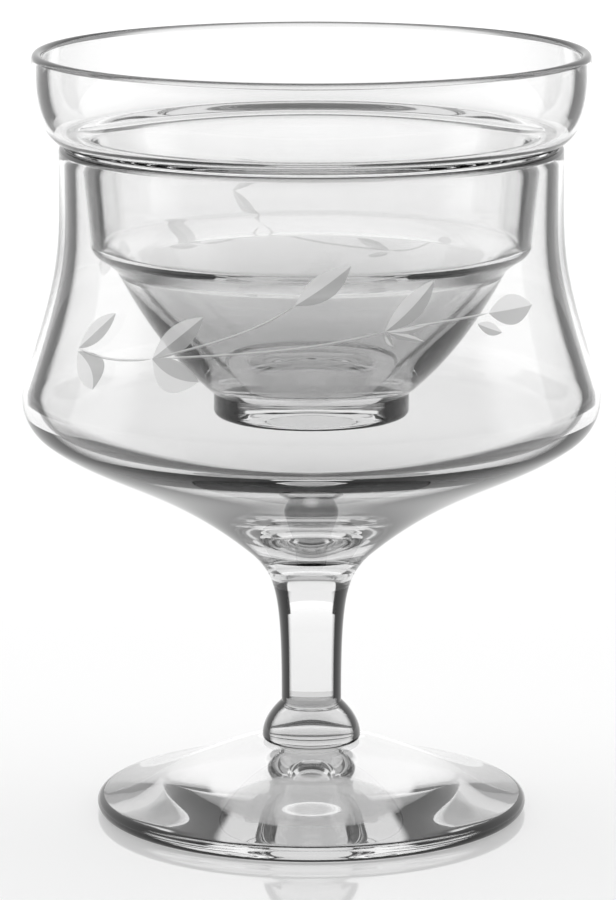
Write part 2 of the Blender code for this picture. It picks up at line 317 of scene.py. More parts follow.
class StageLook(PropertyGroup):
    """Table, light and camera."""

    table_colour: colour("Table", "Colour of the glossy table", (0.8, 0.8, 0.8))
    table_glow: share("Table glow", "Light that the table gives back evenly", 0.35)
    table_roughness: share("Table roughness", "Roughness of the table's gloss", 0.04)
    table_index: FloatProperty(name="Table gloss", description="Refraction index of the table's gloss",
                               default=1.9, min=1.0, max=3.0)
    stage_reach: length("Stage reach", "Radius of the dome of light", 5.0)
    flag_start: angle("Flag start", "Turn from straight behind where a side flag starts", 27.0)
    flag_end: angle("Flag end", "Turn from straight behind where a side flag ends", 74.0)
    flag_distance: length("Flag distance", "Distance of the side flags from the glass", 0.42)
    flag_height: length("Flag height", "Height of the side flags", 0.34)
    flag_black: share("Flag black", "Light given back by the flags", 0.03)
    camera_distance: length("Camera distance", "Level distance from the glass's axis", 835.4 * MM)
    camera_height: length("Camera height", "Height of the camera over the table", 229.57 * MM)
    camera_aside: length("Camera aside", "Shift of the camera to the left of the axis", 0.606 * MM)
    camera_pitch: angle("Camera pitch", "Downward tilt of the camera", 11.16)
    camera_lens: FloatProperty(name="Lens", description="Focal length on a 36 mm frame", default=193.1,
                               min=20.0, unit="CAMERA")


class GlassSettings(PropertyGroup):
    """Everything that a user may change."""

    stand: PointerProperty(type=StandSizes)
    icer: PointerProperty(type=IcerSizes)
    liner: PointerProperty(type=LinerSizes)
    glass: PointerProperty(type=GlassLook)
    spray: PointerProperty(type=SprayLook)
    stage: PointerProperty(type=StageLook)


def downward(lean, outward=False):
    """Unit direction in the outline's plane that leans from straight down, inwards or outwards."""
    side = 1.0 if outward else -1.0
    return np.array((side * np.sin(lean), -np.cos(lean)))


def sloping(slope, outward=False):
    """Unit direction in the outline's plane that falls below level, inwards or outwards."""
    return downward(HALF_PI - slope, outward)


def sweep(start, start_way, end, end_way, start_pull, end_pull, steps):
    """Cubic Bezier between two points: its handles lie along the given ways, at a share of the chord."""
    start = np.asarray(start, float)
    end = np.asarray(end, float)
    chord = np.linalg.norm(end - start)
    first = start + start_way * chord * start_pull
    last = end - end_way * chord * end_pull
    t = np.linspace(0.0, 1.0, steps)[:, None]
    s = 1.0 - t
    return s**3 * start + 3 * s**2 * t * first + 3 * s * t**2 * last + t**3 * end


def arc(centre, radius, start, end, steps):
    """Even turns of a circle about a centre, or of an ellipse if radius is its half width and height."""
    t = np.linspace(start, end, steps)
    return np.asarray(centre, float) + np.stack((np.cos(t), np.sin(t)), axis=1) * radius


def lip(inner_end, outer_end, steps):
    """Half circle over the top of a wall, from its inner side to its outer side."""
    radius = (outer_end[0] - inner_end[0]) / 2
    return arc((inner_end + outer_end) / 2, radius, np.pi, 0.0, steps)


def underside(edge, sizes, look):
    """Hollow under a foot, from the inside of the ring it stands on to the middle."""
    ring = edge[-1] - (sizes.foot_stand, 0.0)
    return sweep(ring, INWARD, (0.0, ring[1] + sizes.foot_hollow), INWARD,
                 look.even_pull, look.even_pull, look.curve_points)


def outline(*stretches):
    """One run of (radius, height) points, with each point dropped that falls on the one before it."""
    points = np.concatenate([np.atleast_2d(np.asarray(stretch, float)) for stretch in stretches])
    moved = np.linalg.norm(np.diff(points, axis=0), axis=1) > SAME_POINT
    return points[np.concatenate(([True], moved))]


def below(points, level):
    """Number of an outline's points that lie below a level."""
    return np.count_nonzero(points[:, 1] < level)


def shell(grid, poles):
    """Closed skin over a grid of points whose second index runs round.

    Neighbours in both indices make the four corners of a face, and a fan of triangles to a pole closes
    the first and the last row. Returns the points, the faces with four and with three corners, and the
    row that each face starts from.
    """
    rows, columns = grid.shape[:2]
    index = np.arange(rows * columns).reshape(rows, columns)
    across = np.roll(index, -1, axis=1)
    fours = np.stack((index[:-1], across[:-1], across[1:], index[1:]), axis=-1).reshape(-1, 4)
    start = np.full(columns, rows * columns)
    first = np.stack((across[0], index[0], start), axis=-1)
    last = np.stack((index[-1], across[-1], start + 1), axis=-1)
    points = np.concatenate((grid.reshape(-1, 3), np.asarray(poles, float)))
    row_of = np.repeat((*range(rows - 1), -1, rows - 1), columns)
    return points, fours, np.concatenate((first, last)), row_of


def enclosed(points, fours, threes):
    """Volume inside a closed skin, as the sum of the tetrahedra from the origin to its triangles."""
    corners = np.concatenate((fours[:, (0, 1, 2)], fours[:, (0, 2, 3)], threes))
    a, b, c = (points[corners[:, k]] for k in range(3))
    return np.einsum("ij,ij->i", a, np.cross(b, c)).sum() / 6


def put_mesh(name, skins, materials):
    """New object at the origin from closed skins, each turned to face outwards.

    A skin is its points, its faces with four and three corners, and a material number for each face.
    """
    points, fours, threes, four_slots, three_slots = [], [], [], [], []
    base = 0
    for skin_points, skin_fours, skin_threes, slots in skins:
        if enclosed(skin_points, skin_fours, skin_threes) < 0.0:
            skin_fours = skin_fours[:, ::-1]
            skin_threes = skin_threes[:, ::-1]
        points.append(skin_points)
        fours.append(skin_fours + base)
        threes.append(skin_threes + base)
        four_slots.append(slots[:len(skin_fours)])
        three_slots.append(slots[len(skin_fours):])
        base += len(skin_points)
    points = np.concatenate(points)
    fours = np.concatenate(fours)
    threes = np.concatenate(threes)
    slots = np.concatenate(four_slots + three_slots)
    corners = np.concatenate((fours.ravel(), threes.ravel())).astype(np.int32)
    starts = np.concatenate((np.arange(len(fours)) * 4, len(fours) * 4 + np.arange(len(threes)) * 3))
    mesh = bpy.data.meshes.new(name)
    mesh.vertices.add(len(points))
    mesh.vertices.foreach_set("co", points.astype(np.float32).ravel())
    mesh.loops.add(len(corners))
    mesh.loops.foreach_set("vertex_index", corners)
    mesh.polygons.add(len(starts))
    mesh.polygons.foreach_set("loop_start", starts.astype(np.int32))
    mesh.polygons.foreach_set("material_index", slots.astype(np.int32))
    mesh.polygons.foreach_set("use_smooth", np.ones(len(starts), bool))
    for material in materials:
        mesh.materials.append(material)
    mesh.update(calc_edges=True)
    if mesh.validate():
        raise RuntimeError(f"the skin of {name} has a bad face")
    mesh.set_sharp_from_angle(angle=SHARP_TURN)
    piece = bpy.data.objects.new(name, mesh)
    bpy.context.scene.collection.objects.link(piece)
    return piece


def turned_skin(points, sides, joints, *bands):
    """Surface of revolution: an outline point (r, z) and a turn a give (r cos a, r sin a, z).

    The turn runs evenly round the axis, and the outline starts and ends on it. A joint is a height and
    the two radii it runs between. A face has material number one where its stretch of the outline lies
    level in a joint. A band is the numbers of its first and last point, and its stretches have material
    number two, three and so on.
    """
    turn = np.arange(sides) * 2 * np.pi / sides
    around = np.stack((np.cos(turn), np.sin(turn)), axis=-1)
    poles = [(0.0, 0.0, points[0, 1]), (0.0, 0.0, points[-1, 1])]
    rows = points[1:-1, :, None, None]
    level = np.broadcast_to(rows[:, 1], (len(rows), sides, 1))
    grid = np.concatenate((rows[:, 0] * around, level), axis=-1)
    skin_points, fours, threes, row_of = shell(grid, poles)
    step = row_of + 1
    first = points[step]
    second = points[step + 1]
    slots = np.zeros(len(row_of), int)
    for number, (start, end) in enumerate(bands):
        slots[(step >= start) & (step < end)] = number + 2
    for height, near, far in joints:
        middle = (first[:, 0] + second[:, 0]) / 2
        off_level = np.maximum(np.abs(first[:, 1] - height), np.abs(second[:, 1] - height))
        slots[(off_level < SAME_LEVEL) & (middle > near) & (middle < far)] = 1
    return skin_points, fours, threes, slots


def grey(bright):
    """Opaque grey of a brightness."""
    return (bright, bright, bright, 1.0)


def set_inputs(node, sockets):
    """Set inputs of a shader node, named with an underscore for each blank."""
    for name, value in sockets.items():
        node.inputs[name.replace("_", " ")].default_value = value


def add_node(material, kind, **sockets):
    """New shader node with some of its inputs set."""
    node = material.node_tree.nodes.new(kind)
    set_inputs(node, sockets)
    return node


def add_ramp(material, source, stops):
    """Grey ramp over a value, from stops of place and brightness."""
    node = add_node(material, "ShaderNodeValToRGB")
    band = node.color_ramp
    band.interpolation = "EASE"
    while len(band.elements) < len(stops):
        band.elements.new(0.5)
    for element, (where, bright) in zip(band.elements, stops):
        element.position = where
        element.color = grey(bright)
    material.node_tree.links.new(source, node.inputs["Fac"])
    return node.outputs["Color"]


def multiply(material, first, second):
    """Product of two values."""
    node = add_node(material, "ShaderNodeMath")
    node.operation = "MULTIPLY"
    material.node_tree.links.new(first, node.inputs[0])
    material.node_tree.links.new(second, node.inputs[1])
    return node.outputs["Value"]


def split(material, source):
    """X, Y and Z of a vector."""
    node = add_node(material, "ShaderNodeSeparateXYZ")
    material.node_tree.links.new(source, node.inputs[0])
    return node.outputs


def mapped(material, source, low, high):
    """Value that goes from nought at a low level to one at a high level."""
    node = add_node(material, "ShaderNodeMapRange", From_Min=low, From_Max=high)
    material.node_tree.links.new(source, node.inputs["Value"])
    return node.outputs["Result"]


def bare_material(name):
    """Material with nothing but its output, and the socket that takes its surface."""
    material = bpy.data.materials.new(name)
    material.use_nodes = True
    material.node_tree.nodes.clear()
    output = add_node(material, "ShaderNodeOutputMaterial")
    return material, output.inputs["Surface"]


def principled(name, **sockets):
    """Material with the standard shader, and that shader with some of its inputs set."""
    material = bpy.data.materials.new(name)
    material.use_nodes = True
    shader = material.node_tree.nodes["Principled BSDF"]
    set_inputs(shader, sockets)
    return material, shader


def clear_glass(name, look, tint, edge=None, height_shade=None, edge_shade_tone=0.0):
    """Clear polished crystal that lets the share tint of the light through.

    An edge is painted shade: between the two slants of edge, as the glass is seen more and more edge on,
    the colour goes from the tint to the edge's shade tone, so that rims and silhouettes show dark lines
    in every view. A height shade is painted shade too: between its first and its second height, the
    colour goes from its tone to the tint, darker towards the base.
    """
    material, shader = principled(name, Base_Color=grey(tint), Roughness=0.0, IOR=look.index,
                                  Transmission_Weight=1.0)
    shade_ramps = []
    # Painted edge shade: Layer Weight darkens the colour towards edge on.
    if edge is not None:
        graze = add_node(material, "ShaderNodeLayerWeight", Blend=0.5)
        stops = ((edge[0], 1.0 if height_shade else tint), (edge[1], edge_shade_tone))
        shade_ramps.append(add_ramp(material, graze.outputs["Facing"], stops))
    # Painted shade by height: the colour darkens towards the base of the piece.
    if height_shade:
        low, high, tone = height_shade
        spot = add_node(material, "ShaderNodeTexCoord")
        level = mapped(material, split(material, spot.outputs["Object"])["Z"], low, high)
        shade_ramps.append(add_ramp(material, level, ((0.0, tone), (1.0, tint))))
    if shade_ramps:
        shaded_glass_colour = shade_ramps[0] if len(shade_ramps) == 1 else multiply(material, *shade_ramps)
        material.node_tree.links.new(shaded_glass_colour, shader.inputs["Base Color"])
    return material


def hot_joint(name):
    """Inner face where two pieces run into one, which light passes as if it weren't there."""
    material, surface = bare_material(name)
    clear = add_node(material, "ShaderNodeBsdfTransparent")
    material.node_tree.links.new(clear.outputs["BSDF"], surface)
    return material


def bowl_glass(name, look, height_shade):
    """Materials of a bowl: its outer face, the joint to its neighbour and its inner face. Both faces get
    painted shade towards the base, and the inner face also painted edge shade.
    """
    return [clear_glass(name + "_crystal", look, look.bowl_tint, None, height_shade),
            hot_joint(name + "_joint"),
            clear_glass(name + "_inner_crystal", look, look.bowl_tint, look.wall_shade_slants, height_shade)]


def lip_glass(name, look):
    """Material of the rounded lip of a bowl, which painted edge shade darkens nearly to black towards
    edge on.
    """
    return clear_glass(name + "_crystal", look, look.bowl_tint, look.lip_shade_slants, edge_shade_tone=look.lip_shade_tone)


def solid_glass(name, look, tint, edge=None, height_shade=None):
    """Materials of a solid piece: its outside, with painted edge shade and painted shade by height where
    they are given, and the joint to its neighbour.
    """
    return [clear_glass(name + "_crystal", look, tint, edge, height_shade), hot_joint(name + "_joint")]


def matt_cut(name, colour_of_cut, cover, look):
    """Ground glass: a dull grey that lets part of the view through, with fine grinding marks. Its grey
    is a painted lit grey on one side of a cut and a painted shaded grey on the other, and it glows with
    painted light in place of the back light that ground glass scatters forwards.
    """
    dull = (*colour_of_cut, 1.0)
    # The emission is painted light, a glow in place of scattered back light.
    material, shader = principled(name, Base_Color=dull, Roughness=look.roughness, Alpha=cover,
                                  Emission_Color=dull, Emission_Strength=look.glow)
    material.cycles.emission_sampling = "NONE"
    links = material.node_tree.links
    spot = add_node(material, "ShaderNodeTexCoord")
    marks = add_node(material, "ShaderNodeTexNoise", Scale=1.0 / look.grain)
    bump = add_node(material, "ShaderNodeBump", Distance=look.low)
    links.new(spot.outputs["Object"], marks.inputs["Vector"])
    links.new(marks.outputs["Fac"], bump.inputs["Height"])
    links.new(bump.outputs["Normal"], shader.inputs["Normal"])
    return material


def put_glass(node, body, skin, materials):
    """Glass piece that stands for a solid and rides on its body, with the solid hidden."""
    piece = put_mesh(node + "_glass", [skin], materials)
    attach(piece, body)
    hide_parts(node)


def bowl_face(settings, inset, belly_inset, under_pull, base_point, base_way, base_pull):
    """One face of the icer's wall from rim to base: waisted flare, round belly and undercut curve."""
    sizes = settings.icer
    steps = settings.glass.curve_points
    belly = sizes.belly_round - belly_inset
    centre = (node_radius("icer_bowl") - sizes.belly_round, node_base("icer_bowl") + sizes.belly_height)
    turn = arc(centre, belly, sizes.flare, -sizes.under, settings.glass.turn_points)
    rim = (sizes.rim_radius - inset, node_top("icer_bowl") - sizes.wall / 2)
    flare = sweep(rim, DOWN, turn[0], downward(sizes.flare, outward=True),
                  sizes.waist_pull, sizes.flare_pull, steps)
    under = sweep(turn[-1], downward(sizes.under), base_point, base_way, under_pull, base_pull, steps)
    return outline(flare, turn, under)


def bowl_outside(settings):
    """Outer face of the icer's bowl from rim to stem."""
    sizes = settings.icer
    base = (node_radius("stem"), node_base("icer_bowl"))
    return bowl_face(settings, 0.0, 0.0, sizes.under_pull, base, sloping(sizes.base_slope),
                     sizes.base_pull)


def bowl_inside(settings):
    """Inner face of the icer's bowl from rim to the middle of its floor."""
    sizes = settings.icer
    base = (0.0, node_base("icer_bowl") + sizes.floor)
    return bowl_face(settings, sizes.wall, sizes.belly_wall, sizes.inner_pull, base, INWARD,
                     sizes.floor_pull)


def liner_face(settings, inset, base_point):
    """One face of the liner's wall from lip to base.

    The lip flares as an ellipse down to the ledge. A fillet turns the ledge down into the neck, which
    narrows to a round shoulder. A short step leads in from there, and the body rounds down to the base.
    """
    sizes = settings.liner
    steps = settings.glass.curve_points
    short = settings.glass.turn_points
    seat = node_top("liner_bowl") - sizes.flare_height
    bulge = sizes.flare_height - sizes.lip_turn
    rise = bulge - inset
    ledge = settings.icer.rim_radius - sizes.ledge_inset
    neck = settings.icer.rim_radius - settings.icer.wall - sizes.clearance
    lip_angle = np.arcsin((sizes.lip_turn - sizes.wall / 2) / rise)
    flare = arc((ledge, seat + bulge), (sizes.overhang - inset, rise), lip_angle, -HALF_PI, steps)
    fillet = sizes.ledge_fillet
    turn = arc((neck + fillet, seat - fillet), fillet + inset, HALF_PI, np.pi, short)
    neck_end = np.array((neck - sizes.neck_taper, seat - sizes.neck_depth))
    rounding = sizes.shoulder_round - inset
    shoulder = arc(neck_end - (sizes.shoulder_round, 0.0), rounding,
                   -sizes.neck_slope, -sizes.step_slope, short)
    corner = neck_end - (sizes.step_width, sizes.step_drop)
    corner += inset * np.array((-np.cos(sizes.body_slope), np.sin(sizes.body_slope)))
    step = sweep(shoulder[-1], downward(sizes.step_slope), corner, downward(sizes.body_slope),
                 sizes.step_pull, sizes.step_turn, steps)
    body = sweep(corner, downward(sizes.body_slope), base_point, downward(sizes.base_slope),
                 settings.glass.even_pull, settings.glass.even_pull, steps)
    neck_run = np.linspace(turn[-1], shoulder[0], short)
    return outline(flare, turn, neck_run, shoulder, step, body)


def lip_band(inside, rim):
    """First and last point of a bowl's lip in an outline that starts with its inner face."""
    return len(inside) - 1, len(inside) + len(rim) - 2


class GLASS_OT_icer_bowl(Operator):
    """Turn the thin-walled bowl of the icer"""

    bl_idname = "cocktail_glass.icer_bowl"
    bl_label = "Icer bowl"

    def execute(self, context):
        settings = context.scene.cocktail_glass
        sizes = settings.icer
        look = settings.glass
        base = node_base("icer_bowl")
        outside = bowl_outside(settings)
        inside = bowl_inside(settings)[::-1]
        rim = lip(inside[-1], outside[0], look.turn_points)
        points = outline(inside, rim, outside, (0.0, base))
        middle = base + sizes.belly_height
        belly_start, belly_end = (
            len(points) - 1 - below(outside, middle - sizes.belly_round * np.sin(turn))
            for turn in (look.belly_turn, sizes.under))
        bands = [(0, len(inside) - 1), (belly_start, belly_end), (belly_end, len(points) - 2),
                 lip_band(inside, rim)]
        skin = turned_skin(points, look.bowl_sides, [(base, 0.0, node_radius("stem"))], *bands)
        # Painted shade: the bowl darkens towards its base, up to the top of the belly's turn.
        height_shade = (base, middle + sizes.belly_round, look.icer_base_shade)
        # Painted edge shade on the inner face, the belly's turn, the underside and the lip.
        glass = [*bowl_glass("icer_bowl", look, height_shade),
                 clear_glass("icer_belly_crystal", look, look.bowl_tint, look.belly_shade_slants, height_shade),
                 clear_glass("icer_under_crystal", look, look.bowl_tint, look.wall_shade_slants, height_shade),
                 lip_glass("icer_lip", look)]
        put_glass("icer_bowl", "icer", skin, glass)
        return {"FINISHED"}


def through(spots, steps):
    """Smooth way through a few spots: the polynomial that meets each at its share of the length."""
    walk = np.concatenate(([0.0], np.cumsum(np.linalg.norm(np.diff(spots, axis=0), axis=1))))
    powers = np.polyfit(walk / walk[-1], spots, len(spots) - 1)
    along = np.linspace(0.0, 1.0, steps)
    return np.stack([np.polyval(axis, along) for axis in powers.T], axis=-1)


def cut_skin(settings, left, right):
    """Thin closed skin of a cut on the bowl between its left and right edge, both from base to tip.

    A point a share u across lies u of the way from the left to the right edge. It stands over the glass
    by the edge's height plus a rise that is one at the rib, u = 1/2, and nought at both edges. The skin
    turns back underneath. A spot (s, h) is laid on the bowl at the turn s / rim radius, at the height h
    and at the bowl's own radius there. The right half has material number one.
    """
    look = settings.spray
    stand = look.low + CUT_RISE * np.where(CUT_RISE < 0.0, look.low, look.high - look.low)
    spots = left[:, None] + (right - left)[:, None] * CUT_ACROSS[None, :, None]
    face = bowl_outside(settings)[::-1]
    radius = np.interp(spots[..., 1], face[:, 1], face[:, 0]) + stand[None, :]
    turn = spots[..., 0] / settings.icer.rim_radius
    grid = np.stack((radius * np.cos(turn), radius * np.sin(turn), spots[..., 1]), axis=-1)
    points, fours, threes, _ = shell(grid[1:-1], (grid[0, CUT_RIB], grid[-1, CUT_RIB]))
    column = np.concatenate((np.arange(len(fours)), np.arange(len(threes)))) % len(CUT_ACROSS)
    return points, fours, threes, CUT_SLOT[column]


def spray_skins(settings, leaves, stalks):
    """Skins of one spray: leaves between two curved edges, and even stalks with pointed ends."""
    look = settings.spray
    unit = np.array((radians(1.0) * settings.icer.rim_radius, MM))
    skins = []
    for base, tip, left, right in leaves:
        edges = [through(np.array((base, middle, tip)) * unit, look.steps) for middle in (left, right)]
        skins.append(cut_skin(settings, *edges))
    for stalk in stalks:
        way = through(np.array(stalk) * unit, look.steps)
        along = np.gradient(way, axis=0)
        aside = np.stack((-along[:, 1], along[:, 0]), axis=-1) / np.linalg.norm(along, axis=1)[:, None]
        walk = np.linspace(0.0, 1.0, look.steps)
        half = look.stalk * np.minimum(1.0, STALK_TAPER * np.minimum(walk, walk[::-1]))[:, None]
        skins.append(cut_skin(settings, way + aside * half, way - aside * half))
    return skins


class GLASS_OT_leaf_sprays(Operator):
    """Lay the matt leaf sprays on the front and the back of the icer's bowl"""

    bl_idname = "cocktail_glass.leaf_sprays"
    bl_label = "Leaf sprays"

    def execute(self, context):
        settings = context.scene.cocktail_glass
        look = settings.spray
        sprays = (("leaf_spray_front", FRONT_LEAVES, FRONT_STALKS, look.front_cover),
                  ("leaf_spray_back", BACK_LEAVES, BACK_STALKS, look.back_cover))
        for name, leaves, stalks, cover in sprays:
            # A painted lit grey for one half of each cut and a painted shaded grey for the other.
            cuts = [matt_cut(name + "_lit_cut_side", look.lit_cut_side, cover, look),
                    matt_cut(name + "_shaded_cut_side", look.shaded_cut_side, cover, look)]
            piece = put_mesh(name, spray_skins(settings, leaves, stalks), cuts)
            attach(piece, "icer")
        return {"FINISHED"}


class GLASS_OT_stem(Operator):
    """Turn the drawn stem with its wide head"""

    bl_idname = "cocktail_glass.stem"
    bl_label = "Stem"

    def execute(self, context):
        settings = context.scene.cocktail_glass
        sizes = settings.stand
        look = settings.glass
        top = node_base("icer_bowl") - look.joint_gap
        base = node_base("stem")
        head = node_radius("stem")
        side = sweep((head, top), sloping(sizes.stem_head_slope), (sizes.stem_radius, base), DOWN,
                     sizes.stem_head_pull, sizes.stem_shank_pull, look.curve_points)
        points = outline((0.0, top), side, (0.0, base))
        swollen = np.count_nonzero(side[:, 0] > look.shank_swell * sizes.stem_radius)
        shank = (1 + swollen, len(points) - 2)
        skin = turned_skin(points, look.stem_sides, [(top, 0.0, head), (base, 0.0, head)], shank)
        # Painted shade: the stem is tinted grey and its shank darkens towards edge on.
        glass = [*solid_glass("stem", look, look.stem_shade_tint),
                 clear_glass("stem_shank_crystal", look, look.stem_shade_tint, look.solid_shade_slants)]
        put_glass("stem", "icer", skin, glass)
        return {"FINISHED"}


class GLASS_OT_stem_knop(Operator):
    """Turn the bell-shaped knop between stem and foot"""

    bl_idname = "cocktail_glass.stem_knop"
    bl_label = "Knop"

    def execute(self, context):
        settings = context.scene.cocktail_glass
        sizes = settings.stand
        look = settings.glass
        pull = look.even_pull
        top = node_base("stem") - look.joint_gap
        base = node_top("foot") + look.joint_gap
        wide = node_radius("stem_knop")
        collar = (sizes.stem_radius, top - sizes.knop_collar)
        tuck = arc((wide - sizes.knop_tuck, base + sizes.knop_tuck), sizes.knop_tuck,
                   0.0, -HALF_PI, look.turn_points)
        shoulder = sweep(collar, sloping(sizes.knop_shoulder_slope, outward=True), tuck[0], DOWN,
                         pull, pull, look.curve_points)
        points = outline((0.0, top), (sizes.stem_radius, top), shoulder, tuck, (0.0, base))
        skin = turned_skin(points, look.stem_sides, [(top, 0.0, wide), (base, 0.0, wide)])
        # Painted shade: the knop is tinted deep grey and darkens towards edge on.
        glass = solid_glass("stem_knop", look, look.knop_shade_tint, look.knop_shade_slants)
        put_glass("stem_knop", "icer", skin, glass)
        return {"FINISHED"}


class GLASS_OT_foot(Operator):
    """Turn the low round foot"""

    bl_idname = "cocktail_glass.foot"
    bl_label = "Foot"

    def execute(self, context):
        settings = context.scene.cocktail_glass
        sizes = settings.stand
        look = settings.glass
        pull = look.even_pull
        top = node_top("foot")
        half = sizes.foot_edge / 2
        joint = node_radius("stem_knop") - sizes.knop_tuck
        hub = (node_radius("stem_knop") + sizes.foot_hub_margin, top)
        edge = arc((node_radius("foot") - half, half), half,
                   HALF_PI - sizes.foot_edge_slope, -HALF_PI, look.turn_points)
        cone = sweep(hub, sloping(sizes.foot_hub_slope, outward=True), edge[0],
                     sloping(sizes.foot_edge_slope, outward=True), pull, pull, look.curve_points)
        upper = outline((0.0, top), (joint, top), cone)
        points = outline(upper, edge, underside(edge, sizes, look))
        rim = (len(upper) - 1, len(outline(upper, edge)) - 1)
        skin = turned_skin(points, look.bowl_sides, [(top, 0.0, joint)], rim)
        # Painted shade: the foot darkens towards its low outer part.
        height_shade = (look.foot_shade_low, look.foot_shade_high, look.foot_outer_shade)
        # Painted edge shade on the rim of the foot.
        glass = [*solid_glass("foot", look, look.foot_tint, None, height_shade),
                 clear_glass("foot_rim_crystal", look, look.foot_tint, look.solid_shade_slants)]
        put_glass("foot", "icer", skin, glass)
        return {"FINISHED"}


class GLASS_OT_liner_bowl(Operator):
    """Turn the loose liner with its flared lip, ledge and tapering body"""

    bl_idname = "cocktail_glass.liner_bowl"
    bl_label = "Liner bowl"

    def execute(self, context):
        settings = context.scene.cocktail_glass
        sizes = settings.liner
        look = settings.glass
        top = node_top("liner_bowl")
        base = node_base("liner_bowl")
        joint = node_radius("liner_foot")
        floor = base + sizes.floor
        seat = top - sizes.flare_height
        shoulder = seat - sizes.neck_depth
        step_foot = shoulder - sizes.step_drop
        outside = liner_face(settings, 0.0, (sizes.base_radius, base))
        rounding = sizes.floor_round
        corner = arc((sizes.base_radius - sizes.floor_inset - rounding, floor + rounding),
                     rounding, -sizes.base_slope, -HALF_PI, look.turn_points)
        inside = outline(liner_face(settings, sizes.wall, corner[0]), corner, (0.0, floor))[::-1]
        rim = lip(inside[-1], outside[0], look.turn_points)
        points = outline(inside, rim, outside, (joint, base), (0.0, base))
        outside_end = len(points) - 2
        bands = [(0, below(inside, seat - sizes.ledge_fillet)),
                 (below(inside, seat + look.ledge_clear), below(inside, top - sizes.lip_turn)),
                 (outside_end - below(outside, shoulder), outside_end - below(outside, step_foot)),
                 lip_band(inside, rim)]
        skin = turned_skin(points, look.bowl_sides, [(base, 0.0, joint)], *bands)
        # Painted shade: the liner darkens from its shoulder downwards.
        height_shade = ((floor + step_foot) / 2, shoulder, look.liner_base_shade)
        # Painted edge shade on the inner face, the step and the lip.
        outer, joined, inner = bowl_glass("liner_bowl", look, height_shade)
        step = clear_glass("liner_step_crystal", look, look.bowl_tint, look.step_shade_slants, height_shade)
        glass = [outer, joined, inner, inner, step, lip_glass("liner_lip", look)]
        put_glass("liner_bowl", "liner", skin, glass)
        return {"FINISHED"}


class GLASS_OT_liner_foot(Operator):
    """Turn the low foot that the liner stands on when it is lifted out"""

    bl_idname = "cocktail_glass.liner_foot"
    bl_label = "Liner foot"

    def execute(self, context):
        settings = context.scene.cocktail_glass
        sizes = settings.liner
        look = settings.glass
        top = node_base("liner_bowl") - look.joint_gap
        low = node_base("liner_foot")
        wide = node_radius("liner_foot")
        rounding = sizes.foot_round
        edge = arc((wide - rounding, low + rounding), rounding, 0.0, -HALF_PI, look.turn_points)
        upper = outline((0.0, top), (wide, top), edge)
        points = outline(upper, underside(edge, sizes, look))
        skin = turned_skin(points, look.bowl_sides, [(top, 0.0, wide)], (1, len(upper) - 1))
        # Painted edge shade on the rim of the liner's foot.
        glass = [*solid_glass("liner_foot", look, look.bowl_tint),
                 clear_glass("liner_foot_rim_crystal", look, look.bowl_tint, look.solid_shade_slants)]
        put_glass("liner_foot", "liner", skin, glass)
        return {"FINISHED"}


def open_mesh(name, grid, material):
    """Stage sheet over a grid of points, with UV running from 0 to 1 along both indices."""
    rows, columns = grid.shape[:2]
    index = np.arange(rows * columns).reshape(rows, columns)
    fours = np.stack((index[:-1, :-1], index[:-1, 1:], index[1:, 1:], index[1:, :-1]), axis=-1)
    fours = fours.reshape(-1, 4)
    mesh = bpy.data.meshes.new(name)
    mesh.from_pydata(grid.reshape(-1, 3), [], fours)
    spots = (np.indices((rows, columns)).reshape(2, -1).T / (rows - 1, columns - 1))[fours.ravel()]
    mesh.uv_layers.new(name="sheet").data.foreach_set("uv", spots.astype(np.float32).ravel())
    mesh.polygons.foreach_set("use_smooth", np.ones(len(fours), bool))
    mesh.materials.append(material)
    sheet = bpy.data.objects.new(name, mesh)
    bpy.context.scene.collection.objects.link(sheet)
    return sheet


def dome_light():
    """White light from behind and from the sides, a little dimmer from above and dark from the front."""
    material, surface = bare_material("dome_light")
    links = material.node_tree.links
    spot = add_node(material, "ShaderNodeTexCoord")
    way = add_node(material, "ShaderNodeVectorMath")
    way.operation = "NORMALIZE"
    links.new(spot.outputs["Object"], way.inputs[0])
    parts = split(material, way.outputs["Vector"])
    behind = add_ramp(material, mapped(material, parts["Y"], -1.0, 1.0), DOME_BY_DEPTH)
    height = add_ramp(material, parts["Z"], DOME_BY_HEIGHT)
    light = add_node(material, "ShaderNodeEmission", Strength=1.0)
    links.new(multiply(material, behind, height), light.inputs["Color"])
    links.new(light.outputs["Emission"], surface)
    material.cycles.emission_sampling = "NONE"
    return material


def flag_black(look):
    """Black that fades out at both ends and at the top of a flag."""
    material, surface = bare_material("flag_black")
    links = material.node_tree.links
    spot = add_node(material, "ShaderNodeUVMap")
    parts = split(material, spot.outputs["UV"])
    along = add_ramp(material, parts["X"], FLAG_ALONG)
    up = add_ramp(material, parts["Y"], FLAG_UP)
    clear = add_node(material, "ShaderNodeBsdfTransparent")
    black = add_node(material, "ShaderNodeEmission", Strength=look.flag_black)
    blend = add_node(material, "ShaderNodeMixShader")
    links.new(multiply(material, along, up), blend.inputs["Fac"])
    links.new(clear.outputs["BSDF"], blend.inputs[1])
    links.new(black.outputs["Emission"], blend.inputs[2])
    links.new(blend.outputs["Shader"], surface)
    material.cycles.emission_sampling = "NONE"
    return material


def bent_card(start, end, look):
    """Upright sheet bent round the glass: a turn t from straight behind is at (d sin t, d cos t)."""
    far = look.flag_distance
    turn, level = np.meshgrid(np.linspace(start, end, FLAG_STEPS[0]),
                              np.linspace(0.0, look.flag_height, FLAG_STEPS[1]), indexing="ij")
    return np.stack((far * np.sin(turn), far * np.cos(turn), level), axis=-1)


def table_gloss(look):
    """Pale glossy table that gives back some light evenly."""
    material, _ = principled("table_gloss", Base_Color=(*look.table_colour, 1.0), IOR=look.table_index,
                             Roughness=look.table_roughness, Emission_Color=grey(1.0),
                             Emission_Strength=look.table_glow)
    material.cycles.emission_sampling = "NONE"
    return material


